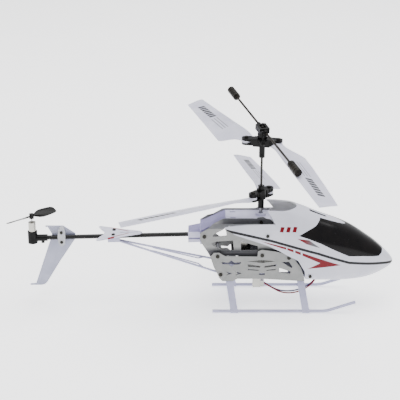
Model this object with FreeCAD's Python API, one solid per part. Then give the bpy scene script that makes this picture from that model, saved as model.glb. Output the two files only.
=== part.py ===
import FreeCAD
import Part
import math
import os

# Remote control helicopter with two coaxial rotors, all sizes in millimetres.
# +X points to the nose, +Z is up, y = 0 is the plane of symmetry of the airframe.
# z = 0 is the ground under the skid feet, x = 0 is halfway between nose and tail propeller.

os.makedirs("parts", exist_ok=True)

# ---------------------------------------------------------------- driving dimensions
MAST_X = 53.8            # rotor mast axis
NOSE_X = 173.1           # front of the canopy
SKID_Y = 26.8            # half of the skid track
SKID_Z = 2.0             # skid tube centre height
SKID_R = 1.4
FOOT_R = 2.0
LOWER_PLATE_Y = 17.1     # inner face of the lower side plates
UPPER_PLATE_Y = 15.6     # inner face of the upper side plates
PLATE_T = 0.8
DECK_TOP = 84.0
DECK_HALF = 11.3

INNER_SHAFT_R = 1.0
OUTER_SHAFT_R = 1.55
OUTER_SHAFT_BORE = 1.08
PRESS = 0.01             # radial gap of what is pressed on a shaft

GEAR_MODULE = 0.45
GEAR_TEETH = 60
PINION_TEETH = 12
GEAR_CENTRES = GEAR_MODULE * (GEAR_TEETH + PINION_TEETH) / 2.0
MOTOR_R = 7.6

UPPER_PLANE_Z = 152.3    # middle plane of the upper blade roots
UPPER_ARM_AZ = -12.0     # plan direction of the upper grip arms
UPPER_BOLT_R = 14.0      # bolt circle radius
UPPER_TILT = 2.7         # rest tilt of the blade holder, near side down
LOWER_PLANE_Z = 103.0
LOWER_ARM_AZ = 45.0
LOWER_BOLT_R = 10.5

UPPER_NEAR_AZ = -76.5    # rest directions of the four folding blades
UPPER_FAR_AZ = 110.0
LOWER_NEAR_AZ = 204.0
LOWER_FAR_AZ = 100.5
BLADE_TAB_R = 3.6
BLADE_TAB_T = 2.0
BLADE_HOLE_R = 0.9
BOLT_R = 0.8

FLYBAR_Z = 164.3
FLYBAR_AZ = -71.4        # plan direction of the low end of the flybar
FLYBAR_TILT = 9.0
FLYBAR_HALF = 81.0
FLYBAR_ROD_R = 1.0
LINK_ARM = 7.4           # distance of the upper link pin from the teeter axis
LINK_SIDE = 3.1          # distance of the links from the flybar's own centre plane
LINK_SLANT = 3.8         # how much further out the lower end of a link stands
LINK_LOW_Z = 2.6         # height of the lower link balls above the blade plane

BOOM_R = 2.0
BOOM_FRONT = (2.0, 65.53)
BOOM_REAR = (-138.2, 61.8)

TAIL_X = -149.6          # tail propeller axis
TAIL_PROP_R = 25.0
TAIL_PROP_AZ = 42.0
CORD_R = 0.62


# ---------------------------------------------------------------- helpers
def vec(x, y, z):
    return FreeCAD.Vector(x, y, z)


def box(x0, x1, y0, y1, z0, z1):
    return Part.makeBox(x1 - x0, y1 - y0, z1 - z0, vec(x0, y0, z0))


def cyl(start, direction, radius, length):
    return Part.makeCylinder(radius, length, vec(*start), vec(*direction))


def tube(start, direction, outer, inner, length):
    return cyl(start, direction, outer, length).cut(cyl(start, direction, inner, length))


def closed_face(points):
    return Part.Face(Part.makePolygon(points + [points[0]]))


def prism_y(outline, y0, y1):
    """Outline of (x, z) points, extruded from y0 to y1."""
    points = [vec(x, y0, z) for x, z in outline]
    return closed_face(points).extrude(vec(0, y1 - y0, 0))


def prism_x(outline, x0, x1):
    """Outline of (y, z) points, extruded from x0 to x1."""
    points = [vec(x0, y, z) for y, z in outline]
    return closed_face(points).extrude(vec(x1 - x0, 0, 0))


def prism_z(outline, z0, z1):
    """Outline of (x, y) points, extruded from z0 to z1."""
    points = [vec(x, y, z0) for x, y in outline]
    return closed_face(points).extrude(vec(0, 0, z1 - z0))


def fuse(shapes):
    result = shapes[0]
    for shape in shapes[1:]:
        result = result.fuse(shape)
    return result.removeSplitter()


def rod(start, end, radius):
    run = end - start
    return Part.makeCylinder(radius, run.Length, start, run)


def turned(shape, degrees, axis, centre=(0, 0, 0)):
    copy = shape.copy()
    copy.rotate(vec(*centre), vec(*axis), degrees)
    return copy


def moved(shape, x, y, z):
    copy = shape.copy()
    copy.translate(vec(x, y, z))
    return copy


def mirrored(shape):
    return shape.mirror(vec(0, 0, 0), vec(0, 1, 0))


def heading(degrees):
    angle = math.radians(degrees)
    return math.cos(angle), math.sin(angle)


def save(shape, name):
    if isinstance(shape, list):
        shape = Part.makeCompound([solid for piece in shape for solid in piece.Solids])
    solids = shape.Solids
    print(name, len(solids), shape.isValid(), round(shape.Volume, 1))
    if len(solids) == 1:
        shape = solids[0]
    shape.exportStep("parts/" + name + ".step")


# ---------------------------------------------------------------- canopy and windscreen
# station x, half width, height of widest point, top, bottom
CANOPY = [
    (17.0, 20.6, 72.0, 92.0, 40.0),
    (40.0, 21.4, 69.0, 96.0, 32.0),
    (60.0, 22.6, 66.0, 97.2, 27.5),
    (80.0, 23.6, 62.5, 94.9, 25.4),
    (97.0, 24.0, 59.0, 88.6, 24.6),
    (113.0, 23.4, 55.5, 82.2, 24.2),
    (129.0, 21.4, 51.5, 76.0, 24.4),
    (146.0, 17.4, 46.8, 66.0, 26.0),
    (158.0, 12.8, 43.6, 57.4, 29.4),
    (166.0, 8.6, 41.6, 50.2, 33.2),
    (171.0, 4.9, 40.4, 44.8, 36.6),
    (NOSE_X, 1.6, 40.0, 41.6, 38.6),
]


def canopy_ring(x, half, mid, top, low):
    points = []
    for k in range(28):
        angle = 2.0 * math.pi * k / 28.0
        c = math.cos(angle)
        s = math.sin(angle)
        if s >= 0.0:
            power = 2.0 / 2.5
            z = mid + (top - mid) * abs(s) ** power
        else:
            power = 2.0 / 2.9
            z = mid - (mid - low) * abs(s) ** power
        y = half * math.copysign(abs(c) ** power, c)
        points.append(vec(x, y, z))
    curve = Part.BSplineCurve()
    curve.interpolate(points, PeriodicFlag=True)
    return Part.Wire([curve.toShape()])


def canopy_body(inset):
    rings = []
    for x, half, mid, top, low in CANOPY:
        if inset > 0.0 and x > 170.0:
            x = x - inset * 1.6
        if inset > 0.0 and x > NOSE_X - 2.5:
            continue
        grow = min(inset, half * 0.75)
        rings.append(canopy_ring(x, half - grow, mid, top - grow, low + grow))
    return Part.makeLoft(rings, True, False)


def canopy_parts():
    skin = canopy_body(0.0).cut(canopy_body(1.2))
    side_view = [
        (21.6, 80.0), (31.4, 81.4), (39.7, 82.0), (58.0, 82.6), (66.0, 82.8),
        (62.6, 88.4), (58.4, 94.2), (55.0, 110.0), (180.0, 110.0), (180.0, 15.0), (94.4, 15.0),
        (94.2, 28.0), (92.6, 38.6), (86.6, 49.6), (77.3, 54.4), (69.8, 58.9), (58.9, 64.0),
        (45.4, 68.4), (31.9, 72.8), (21.9, 78.0),
    ]
    skin = skin.common(prism_y(side_view, -40, 40))
    mouth = [(30.0, -13.6), (70.0, -13.6)]
    for k in range(1, 12):
        c, s = heading(-90.0 + 15.0 * k)
        mouth.append((70.0 + 15.6 * c, 13.6 * s))
    mouth += [(70.0, 13.6), (30.0, 13.6)]
    skin = skin.cut(prism_z(mouth, 70, 120))
    skin = skin.cut(cyl((106.5, -2.4, 15.0), (0, 0, 1), 3.2, 20.0))
    screen_side = [
        (86.4, 73.4), (94.0, 77.4), (101.4, 80.6), (105.6, 84.0), (109.4, 96.0), (166.0, 96.0),
        (165.2, 60.0), (163.8, 54.4), (161.8, 51.0), (158.8, 49.2), (152.0, 50.2), (144.0, 51.6),
        (131.2, 52.9), (118.4, 59.4),
        (105.4, 66.2), (95.0, 70.4),
    ]
    screen_zone = prism_y(screen_side, -40, 40)
    spine = [
        (80.0, -9.0), (100.0, -8.2), (114.0, -6.4), (122.0, -5.0), (127.0, -3.0), (129.4, 0.0),
        (127.0, 3.0), (122.0, 5.0), (114.0, 6.4), (100.0, 8.2), (80.0, 9.0),
    ]
    screen_zone = screen_zone.cut(prism_z(spine, 40, 120))
    screen = skin.common(screen_zone)
    shell = skin.cut(screen_zone)
    vent = prism_z([(97.0, -2.0), (111.0, -1.5), (112.6, 0.0), (111.0, 1.5), (97.0, 2.0)], 70, 110)
    shell = shell.cut(vent)
    for side in (-1, 1):
        shell = shell.cut(cyl((59.2, side * 10.0, 73.0), (0, side, 0), 1.0, 20.0))
        shell = shell.cut(cyl((97.6, side * 8.0, 33.4), (0, side, 0), 1.0, 20.0))
    save(shell, "canopy_shell")
    save(screen, "windscreen")


canopy_parts()


# ---------------------------------------------------------------- frame and side plates
def boom_height(x):
    x0, z0 = BOOM_FRONT
    x1, z1 = BOOM_REAR
    return z0 + (x - x0) * (z1 - z0) / (x1 - x0)


def boom_cylinder(radius, x_front, x_rear):
    start = vec(x_front, 0, boom_height(x_front))
    run = vec(x_rear, 0, boom_height(x_rear)) - start
    return Part.makeCylinder(radius, run.Length, start, run)


def top_frame():
    profile = [
        (0.0, 60.4), (0.0, 73.2), (2.5, 74.2), (12.2, 79.3), (21.8, DECK_TOP), (62.0, DECK_TOP),
        (63.4, 82.6), (63.4, 80.6), (24.0, 80.6), (16.0, 76.2), (9.6, 70.0), (7.0, 61.8), (5.6, 60.4),
    ]
    deck = prism_y(profile, -DECK_HALF, DECK_HALF)
    socket = prism_y([(-10.5, 59.9), (-10.5, 70.8), (0.0, 73.2), (0.0, 60.2)], -6.4, 6.4)
    ears = box(1.0, 7.0, -UPPER_PLATE_Y, UPPER_PLATE_Y, 67.0, 73.0)
    body = fuse([deck, socket, ears])
    boss = cyl((MAST_X, 0, 76.4), (0, 0, 1), 4.6, 9.8)
    body = fuse([body, boss])
    body = body.cut(cyl((MAST_X, 0, 70.0), (0, 0, 1), 3.02, 10.3))
    body = body.cut(cyl((MAST_X, 0, 70.0), (0, 0, 1), 2.2, 30.0))
    body = body.cut(boom_cylinder(BOOM_R + 0.02, 2.6, -20.0))
    for side in (-1, 1):
        groove = box(-10.6, 0.6, side * 6.4 - 0.5, side * 6.4 + 0.5, 63.2, 64.4)
        body = body.cut(groove)
        body = body.cut(cyl((3.9, side * 9.0, 69.9), (0, side, 0), 0.85, 10.0))
        body = body.cut(cyl((MAST_X, side * 7.0, 82.2), (0, side, 0), 0.85, 10.0))
        corners = [(26.0, side * 5.6), (32.0, side * 5.6), (31.0, side * 7.6), (27.0, side * 7.6)]
        slot = prism_z(corners, 79.0, 86.0)
        body = body.cut(slot)
    save(body, "top_frame")


top_frame()


def base_frame():
    tray = prism_z([(20.4, -16.9), (91.0, -16.9), (94.0, -12.0), (134.0, -12.0),
                    (134.0, 12.0), (94.0, 12.0), (91.0, 16.9), (20.4, 16.9)], 29.8, 31.6)
    boss = cyl((MAST_X, 0, 29.8), (0, 0, 1), 4.6, 5.0)
    stops = [box(96.0, 97.4, -11.0, 11.0, 31.6, 37.0), box(132.6, 134.0, -11.0, 11.0, 31.6, 37.0)]
    ribs = [box(30.0, 88.0, side * 15.2 - 0.8, side * 15.2 + 0.8, 31.6, 34.2) for side in (-1, 1)]
    lugs = [box(95.2, 100.0, side * 14.6 - 1.8, side * 14.6 + 1.8, 32.0, 36.0) for side in (-1, 1)]
    arms = [box(95.2, 100.0, side * 12.8 - 2.3, side * 12.8 + 2.3, 29.8, 33.0) for side in (-1, 1)]
    body = fuse([tray, boss] + stops + ribs + arms + lugs)
    body = body.cut(cyl((MAST_X, 0, 31.8), (0, 0, 1), 3.02, 10.0))
    body = body.cut(cyl((MAST_X, 0, 20.0), (0, 0, 1), 1.4, 20.0))
    body = body.cut(cyl((105.9, -2.2, 20.0), (0, 0, 1), 2.8, 20.0))
    for x in (30.0, 74.0):
        body = body.cut(box(x - 5.0, x + 5.0, -8.0, 8.0, 28.0, 34.0))
    for side in (-1, 1):
        body = body.cut(cyl((97.6, side * 10.0, 33.4), (0, side, 0), 0.85, 12.0))
        body = body.cut(cyl((55.2, side * 10.0, 30.7), (0, side, 0), 0.4, 12.0))
    save(body, "base_frame")


base_frame()


def motor_bracket():
    plate = prism_z([(28.0, -9.0), (36.0, -12.6), (76.0, -12.6), (79.6, -9.0), (79.6, 9.0),
                     (76.0, 12.6), (36.0, 12.6), (28.0, 9.0)], 49.0, 51.4)
    parts = [plate]
    for side in (-1, 1):
        parts.append(box(52.0, 58.4, min(side * 11, side * 17.05), max(side * 11, side * 17.05), 50.4, 54.8))
        parts.append(box(75.4, 82.0, min(side * 8, side * 17.05), max(side * 8, side * 17.05), 48.0, 52.4))
    body = fuse(parts)
    body = body.cut(cyl((MAST_X, 0, 45.0), (0, 0, 1), 2.4, 12.0))
    for x in (MAST_X - GEAR_CENTRES, MAST_X + GEAR_CENTRES):
        body = body.cut(cyl((x, 0, 45.0), (0, 0, 1), 2.0, 12.0))
    for side in (-1, 1):
        body = body.cut(cyl((55.0, side * 9.0, 52.5), (0, side, 0), 0.85, 12.0))
        body = body.cut(cyl((78.7, side * 9.0, 50.2), (0, side, 0), 0.85, 12.0))
    save(body, "motor_bracket")


motor_bracket()


def bent_sheet(stations, thickness, x0, x1):
    """Sheet whose inner face follows (y, z) stations, extruded along x."""
    outline = [(y, z) for y, z in stations]
    outline += [(y + thickness, z) for y, z in reversed(stations)]
    return prism_x(outline, x0, x1)


def upper_plate():
    sheet = bent_sheet([(13.2, 48.0), (13.2, 54.2), (UPPER_PLATE_Y, 62.0), (UPPER_PLATE_Y, 77.2),
                        (11.4, 80.2), (11.4, 90.0)], PLATE_T, -4.0, 90.0)
    outline = [
        (0.2, 73.0), (8.7, 78.4), (19.6, 84.8), (22.6, 85.4), (49.6, 85.4), (51.4, 86.4), (55.4, 86.8),
        (58.4, 85.2), (61.8, 84.6), (64.6, 81.8), (64.4, 79.8), (24.0, 78.9), (30.0, 76.4), (45.0, 72.0),
        (58.0, 68.0), (68.0, 62.0), (76.0, 54.2), (74.0, 50.6), (50.8, 50.4), (26.0, 50.4), (17.0, 48.8),
        (9.4, 48.8), (1.5, 63.4), (0.0, 67.0),
    ]
    plate = sheet.common(prism_y(outline, 0, 30))
    windows = [
        [(10.8, 71.2), (19.8, 76.2), (22.4, 78.0), (23.4, 70.8), (12.0, 69.6)],
        [(9.4, 63.3), (15.1, 65.2), (29.2, 66.1), (29.9, 56.0), (19.2, 56.0), (11.1, 61.4)],
        [(35.9, 65.2), (36.3, 55.9), (51.1, 55.9), (51.0, 60.7), (43.9, 62.9)],
    ]
    for window in windows:
        plate = plate.cut(prism_y(window, 0, 30))
    plate = plate.cut(cyl((3.9, 5, 69.9), (0, 1, 0), 0.9, 20))
    plate = plate.cut(cyl((MAST_X, 5, 82.2), (0, 1, 0), 0.9, 20))
    plate = plate.cut(cyl((59.2, 5, 73.0), (0, 1, 0), 0.9, 20))
    plate = plate.cut(cyl((15.6, 5, 51.5), (0, 1, 0), 2.1, 20))
    plate = plate.cut(box(51.8, 58.6, 5, 30, 50.0, 55.0))
    plate = plate.cut(box(75.2, 82.2, 5, 30, 47.0, 52.6))
    save(plate, "upper_side_plate_left")
    save(mirrored(plate), "upper_side_plate_right")


upper_plate()


def lower_plate():
    outline = [
        (9.1, 50.9), (10.9, 52.8), (12.1, 54.8), (16.8, 54.8), (22.4, 51.5), (50.8, 51.2), (51.3, 56.1),
        (54.6, 57.7), (66.4, 56.1), (74.1, 54.1), (78.3, 52.8), (84.4, 47.6), (89.4, 40.4), (92.6, 31.8),
        (93.2, 27.4), (86.2, 27.5), (55.1, 29.5), (33.0, 29.5), (29.5, 27.2), (19.9, 27.2), (16.9, 30.5),
        (15.1, 35.1), (12.1, 41.1),
    ]
    inner = LOWER_PLATE_Y
    plate = prism_y(outline, inner, inner + PLATE_T)
    cutouts = [
        [(42.3, 46.6), (54.7, 47.9), (67.2, 46.9), (54.8, 45.0)],
        [(42.4, 43.7), (53.4, 42.0), (53.4, 40.4), (42.4, 41.4)],
        [(57.2, 42.0), (67.9, 43.7), (67.9, 42.0), (57.2, 40.4)],
        [(42.4, 39.1), (52.0, 38.3), (52.0, 37.5), (42.4, 38.1)],
        [(58.9, 38.3), (67.4, 39.1), (67.4, 38.1), (58.9, 37.5)],
        [(52.6, 35.1), (57.7, 35.1), (57.7, 33.2), (52.6, 33.2)],
        [(72.3, 46.0), (78.8, 46.0), (82.2, 41.1), (81.1, 40.1)],
        [(70.4, 40.1), (80.9, 36.5), (80.0, 34.5), (70.5, 35.8)],
        [(18.9, 46.0), (25.1, 45.3), (27.8, 47.6), (30.5, 45.3), (36.7, 46.0), (35.5, 43.7),
         (30.5, 43.3), (27.9, 41.4), (25.2, 43.7), (19.8, 43.7)],
        [(22.8, 36.8), (28.8, 34.8), (22.9, 32.8), (25.2, 34.8)],
        [(31.2, 36.8), (37.4, 35.0), (31.2, 32.8), (33.6, 34.9)],
    ]
    for cutout in cutouts:
        plate = plate.cut(prism_y(cutout, inner - 1, inner + 2))
    for x, z in ((15.6, 51.5), (55.0, 52.5), (78.7, 50.2), (18.4, 33.8)):
        plate = plate.cut(cyl((x, inner - 1, z), (0, 1, 0), 0.9, 3))
    save(plate, "lower_side_plate_left")
    save(mirrored(plate), "lower_side_plate_right")


lower_plate()


def frame_posts():
    posts = []
    for x, z in ((15.6, 51.5), (18.4, 33.8)):
        post = cyl((x, -17.05, z), (0, 1, 0), 2.0, 34.1)
        for side in (-1, 1):
            post = post.cut(cyl((x, side * 9.0, z), (0, side, 0), 0.85, 10.0))
        posts.append(post)
    for side in (-1, 1):
        y_in = side * (UPPER_PLATE_Y + PLATE_T)
        post = tube((59.2, y_in, 73.0), (0, side, 0), 2.0, 0.85, 4.4)
        posts.append(post)
    save(posts, "frame_posts")


frame_posts()


def screw(x, z, y_face, side, length, head_r=1.7):
    """Cross head screw pushed in from the outer side face at y_face."""
    head = cyl((x, side * y_face, z), (0, side, 0), head_r, 1.0)
    slot_a = box(x - 1.0, x + 1.0, side * y_face + side * 0.5 - (0.5 if side < 0 else 0),
                 side * y_face + side * 0.5 + (0.5 if side > 0 else 0), z - 0.2, z + 0.2)
    slot_b = turned(slot_a, 90, (0, 1, 0), (x, 0, z))
    shank = cyl((x, side * y_face, z), (0, -side, 0), 0.8, length)
    return fuse([head, shank]).cut(slot_a).cut(slot_b)


def frame_screws():
    outer = LOWER_PLATE_Y + PLATE_T
    screws = []
    for side in (-1, 1):
        for x, z in ((15.6, 51.5), (55.0, 52.5), (78.7, 50.2), (18.4, 33.8)):
            screws.append(screw(x, z, outer, side, 6.0))
        screws.append(screw(3.9, 69.9, UPPER_PLATE_Y + PLATE_T, side, 5.0))
        screws.append(screw(MAST_X, 82.2, 11.4 + PLATE_T, side, 3.6, 1.5))
        screws.append(screw(59.2, 73.0, 22.45, side, 4.6, 1.5))
        screws.append(screw(97.6, 33.4, 20.85, side, 6.4, 1.5))
    save(screws, "frame_screws")


frame_screws()


def bearing(x, z, outer, inner, height):
    ring = tube((x, 0, z), (0, 0, 1), outer, inner, height)
    groove = tube((x, 0, z + height - 0.2), (0, 0, 1), outer - 0.7, inner + 0.5, 0.2)
    return ring.cut(groove)


save([bearing(MAST_X, 77.9, 3.0, OUTER_SHAFT_R + 0.04, 2.4),
      bearing(MAST_X, 31.9, 3.0, INNER_SHAFT_R + 0.04, 2.4)], "mast_bearings")


# ---------------------------------------------------------------- gears
def gear_outline(teeth, phase, slack):
    """Involute outline, phase is the direction of one tooth centre in degrees."""
    pressure = math.radians(25.0)
    pitch_r = GEAR_MODULE * teeth / 2.0
    base_r = pitch_r * math.cos(pressure)
    tip_r = pitch_r + 0.85 * GEAR_MODULE
    root_r = pitch_r - 1.1 * GEAR_MODULE
    low_r = max(base_r, root_r)
    half_pitch = math.pi / (2.0 * teeth) - slack / (2.0 * pitch_r)
    inv_pitch = math.tan(pressure) - pressure
    flank = []
    for k in range(4):
        radius = low_r + (tip_r - low_r) * k / 3.0
        angle = math.acos(min(1.0, base_r / radius))
        flank.append((radius, half_pitch + inv_pitch - (math.tan(angle) - angle)))
    points = []
    for tooth in range(teeth):
        centre = math.radians(phase) + 2.0 * math.pi * tooth / teeth
        rows = [(root_r, -flank[0][1])] + [(r, -a) for r, a in flank]
        rows += [(r, a) for r, a in reversed(flank)] + [(root_r, flank[0][1])]
        if root_r >= base_r:
            rows = rows[1:-1]
        for radius, angle in rows:
            points.append((radius * math.cos(centre + angle), radius * math.sin(centre + angle)))
    return points


def main_gear(z, bore):
    disc = prism_z([(MAST_X + x, y) for x, y in gear_outline(GEAR_TEETH, 0.0, 0.10)], z, z + 2.6)
    hub = cyl((MAST_X, 0, z - 0.4), (0, 0, 1), 4.0, 3.8)
    body = fuse([disc, hub])
    body = body.cut(cyl((MAST_X, 0, z - 2.0), (0, 0, 1), bore, 10.0))
    for k in range(6):
        c, s = heading(30.0 + 60.0 * k)
        body = body.cut(cyl((MAST_X + 8.2 * c, 8.2 * s, z - 1), (0, 0, 1), 2.5, 6.0))
    return body


def pinion(x, z, height):
    outline = [(x + px, py) for px, py in gear_outline(PINION_TEETH, 15.0, 0.10)]
    body = prism_z(outline, z, z + height)
    return body.cut(cyl((x, 0, z - 1), (0, 0, 1), 0.75, height + 2))


def motor(x):
    can = cyl((x, 0, 51.45), (0, 0, 1), MOTOR_R, 15.0)
    can = can.common(box(x - 20, x + 20, -6.2, 6.2, 40, 80))
    cap = cyl((x, 0, 66.45), (0, 0, 1), 5.4, 1.4)
    nose = cyl((x, 0, 50.05), (0, 0, 1), 1.9, 1.4)
    pins = [box(x - 4.0, x - 3.4, -0.8, 0.8, 67.85, 69.8), box(x + 3.4, x + 4.0, -0.8, 0.8, 67.85, 69.8)]
    body = fuse([can, cap, nose] + pins)
    return body.cut(cyl((x, 0, 49.0), (0, 0, 1), 0.8, 17.0))


REAR_MOTOR_X = MAST_X - GEAR_CENTRES
FRONT_MOTOR_X = MAST_X + GEAR_CENTRES
save([motor(REAR_MOTOR_X), motor(FRONT_MOTOR_X)], "main_motors")
save([pinion(REAR_MOTOR_X, 43.0, 3.2), cyl((REAR_MOTOR_X, 0, 42.8), (0, 0, 1), 0.75, 22.0)],
     "rear_drive_pinion")
save([pinion(FRONT_MOTOR_X, 36.6, 3.2), cyl((FRONT_MOTOR_X, 0, 36.4), (0, 0, 1), 0.75, 28.4)],
     "front_drive_pinion")


# ---------------------------------------------------------------- coaxial shafts
def outer_rotor():
    shaft = tube((MAST_X, 0, 42.2), (0, 0, 1), OUTER_SHAFT_R, OUTER_SHAFT_BORE, 69.6)
    save(shaft, "outer_shaft")
    save(main_gear(43.3, OUTER_SHAFT_R + PRESS), "upper_main_gear")
    collar = tube((MAST_X, 0, 91.3), (0, 0, 1), 2.75, OUTER_SHAFT_R + PRESS, 8.3)
    collar = collar.cut(cyl((MAST_X, 0, 93.6), (1, 0, 0), 0.6, 6.0))
    save(collar, "outer_shaft_collar")


outer_rotor()


def inner_rotor():
    shaft = cyl((MAST_X, 0, 31.95), (0, 0, 1), INNER_SHAFT_R, 134.6)
    shaft = shaft.cut(cross_hole(FLYBAR_Z, FLYBAR_AZ + 90.0, 0.5, 8.0))
    shaft = shaft.cut(cross_hole(UPPER_PLANE_Z, UPPER_ARM_AZ, 0.5, 12.0))
    save(shaft, "inner_shaft")
    save(main_gear(36.9, INNER_SHAFT_R + PRESS), "lower_main_gear")
    sleeve = tube((MAST_X, 0, 138.3), (0, 0, 1), 2.65, INNER_SHAFT_R + PRESS, 9.7)
    sleeve = sleeve.cut(cyl((MAST_X, 0, 141.0), (0, -1, 0), 0.6, 6.0))
    spacer = tube((MAST_X, 0, 157.2), (0, 0, 1), 4.2, INNER_SHAFT_R + PRESS, 3.0)
    save([sleeve, spacer], "mast_collars")
    save([cross_hole(FLYBAR_Z, FLYBAR_AZ + 90.0, 0.5, 5.4),
          cross_hole(UPPER_PLANE_Z, UPPER_ARM_AZ, 0.5, 6.6)], "mast_pivot_pins")


def cross_hole(z, azimuth, radius, half):
    c, s = heading(azimuth)
    return cyl((MAST_X - half * c, -half * s, z), (c, s, 0), radius, 2.0 * half)


inner_rotor()


# ---------------------------------------------------------------- grips, holder and hub
def clevis(reach, low, high):
    """Grip at the end of an arm along +x: two lobes with the blade root between them."""
    gap = BLADE_TAB_T / 2.0 + 0.12
    width = 3.9
    block = box(3.0, reach, -width, width, low, high)
    block = block.fuse(cyl((reach, 0, low), (0, 0, 1), width, high - low))
    slot = box(reach - 5.3, reach + 9, -9, 9, -gap, gap)
    block = block.cut(slot)
    for k in range(3):
        x = reach - 4.4 + 2.6 * k
        groove = box(x, x + 1.0, -width - 1, -width + 0.5, gap + 0.4, high - 0.4)
        block = block.cut(groove)
        block = block.cut(box(x, x + 1.0, width - 0.5, width + 1, gap + 0.4, high - 0.4))
    return block.cut(cyl((reach, 0, low - 5), (0, 0, 1), BOLT_R + 0.02, 20))


def grip_bolt(reach, low, high):
    head = cyl((reach, 0, high), (0, 0, 1), 1.7, 1.0)
    head = head.cut(box(reach - 1.2, reach + 1.2, -0.2, 0.2, high + 0.5, high + 1.0))
    head = head.cut(box(reach - 0.2, reach + 0.2, -1.2, 1.2, high + 0.5, high + 1.0))
    shank = cyl((reach, 0, low - 0.9), (0, 0, 1), BOLT_R, high - low + 1.2)
    nut = cyl((reach, 0, low - 0.9), (0, 0, 1), 1.5, 0.9)
    return fuse([head, shank, nut])


def upper_place(shape):
    """From the level arm frame at the mast to the tilted holder at the top of the mast."""
    shape = turned(shape, UPPER_TILT, (1, 0, 0))
    shape = turned(shape, UPPER_ARM_AZ, (0, 0, 1))
    return moved(shape, MAST_X, 0, UPPER_PLANE_Z)


def lower_place(shape):
    shape = turned(shape, LOWER_ARM_AZ, (0, 0, 1))
    return moved(shape, MAST_X, 0, LOWER_PLANE_Z)


def low_ball():
    """Centre of the near lower link ball in the level arm frame."""
    out_c, out_s = heading(FLYBAR_AZ - UPPER_ARM_AZ)
    reach = LINK_ARM * math.cos(math.radians(FLYBAR_TILT)) + LINK_SLANT
    x = reach * out_c + LINK_SIDE * out_s
    y = reach * out_s - LINK_SIDE * out_c
    return vec(x, y, LINK_LOW_Z)


def upper_holder():
    frame = box(-7.2, 7.2, -5.6, 5.6, -2.9, 2.9)
    frame = frame.cut(box(-4.0, 4.0, -3.4, 3.4, -5, 5))
    parts = [frame]
    for flip in (0, 180):
        parts.append(turned(clevis(UPPER_BOLT_R, -2.7, 3.2), flip, (0, 0, 1)))
    pin_c, pin_s = heading(FLYBAR_AZ + 90.0 - UPPER_ARM_AZ)
    ball = low_ball()
    root = ball - vec(pin_c, pin_s, 0) * 2.3
    horn = fuse([rod(vec(-2.6, -4.6, 1.9), root, 0.9), Part.makeSphere(0.9, root),
                 rod(root, ball, 0.5), Part.makeSphere(0.75, ball)])
    for flip in (0, 180):
        parts.append(turned(horn, flip, (0, 0, 1)))
    body = fuse(parts)
    body = body.cut(box(-4.0, 4.0, -3.4, 3.4, -5, 5))
    body = body.cut(cyl((-9, 0, 0), (1, 0, 0), 0.55, 18))
    save(upper_place(body), "upper_blade_holder")
    bolts = []
    for flip in (0, 180):
        bolts.append(upper_place(turned(grip_bolt(UPPER_BOLT_R, -2.7, 3.2), flip, (0, 0, 1))))
    save(Part.makeCompound(bolts), "upper_blade_bolts")


upper_holder()


def lower_hub():
    core = cyl((0, 0, -3.3), (0, 0, 1), 4.2, 8.4)
    top = cyl((0, 0, 5.1), (0, 0, 1), 2.9, 3.7)
    parts = [core, top]
    for flip in (0, 180):
        parts.append(turned(clevis(LOWER_BOLT_R, -2.9, 4.4), flip, (0, 0, 1)))
    body = fuse(parts)
    body = body.cut(cyl((0, 0, -10), (0, 0, 1), OUTER_SHAFT_R + PRESS, 30))
    body = body.cut(cyl((0, 0, 7.2), (0, 1, 0), 0.6, 6.0))
    save(lower_place(body), "lower_rotor_hub")
    bolts = []
    for flip in (0, 180):
        bolts.append(lower_place(turned(grip_bolt(LOWER_BOLT_R, -2.9, 4.4), flip, (0, 0, 1))))
    save(Part.makeCompound(bolts), "lower_blade_bolts")


lower_hub()


# ---------------------------------------------------------------- rotor blades
# station along the span from the bolt: leading edge, trailing edge, thickness, pitch
BLADE = [
    (0.0, -3.3, 3.3, 1.9, 0.0),
    (3.0, -4.6, 3.3, 1.9, 1.0),
    (6.0, -8.2, 3.7, 1.9, 4.0),
    (9.0, -9.3, 4.7, 1.8, 8.0),
    (12.0, -9.3, 6.4, 1.6, 11.0),
    (15.0, -9.2, 9.2, 1.5, 14.0),
    (18.0, -9.1, 12.8, 1.4, 16.0),
    (21.0, -9.0, 16.2, 1.3, 17.5),
    (24.0, -8.9, 17.7, 1.3, 18.0),
    (28.0, -8.8, 17.6, 1.3, 17.5),
    (45.0, -8.2, 16.5, 1.2, 14.5),
    (65.0, -7.6, 15.1, 1.2, 12.5),
    (85.0, -6.9, 13.8, 1.1, 10.5),
    (105.0, -6.3, 12.4, 1.0, 9.0),
    (119.0, -5.8, 11.4, 0.9, 8.0),
]
BLADE_TIP = (-5.6, 125.4, 11.0, 121.6)   # leading corner offset and span, trailing corner


def blade_ring(lead, trail, thick, pitch, span_lead, span_trail, droop):
    """Cambered section, leading edge at negative offsets, trailing edge pitched down."""
    rows = []
    shape = [(0.0, 0.0), (0.04, 0.42), (0.25, 1.0), (0.55, 0.85), (1.0, 0.18)]
    for share, level in shape:
        rows.append((share, level))
    low = [(1.0, -0.10), (0.55, 0.05), (0.25, -0.05), (0.04, -0.20)]
    for share, level in low:
        rows.append((share, level))
    tilt = math.radians(pitch)
    fall = math.tan(math.radians(droop))
    points = []
    for share, level in rows:
        v = lead + (trail - lead) * share
        u = span_lead + (span_trail - span_lead) * share
        h = thick * (level - 0.45)
        y = v * math.cos(tilt) + h * math.sin(tilt)
        z = -v * math.sin(tilt) + h * math.cos(tilt) - max(0.0, u - 6.0) * fall
        points.append(vec(u, y, z))
    return Part.makePolygon(points + [points[0]])


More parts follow.
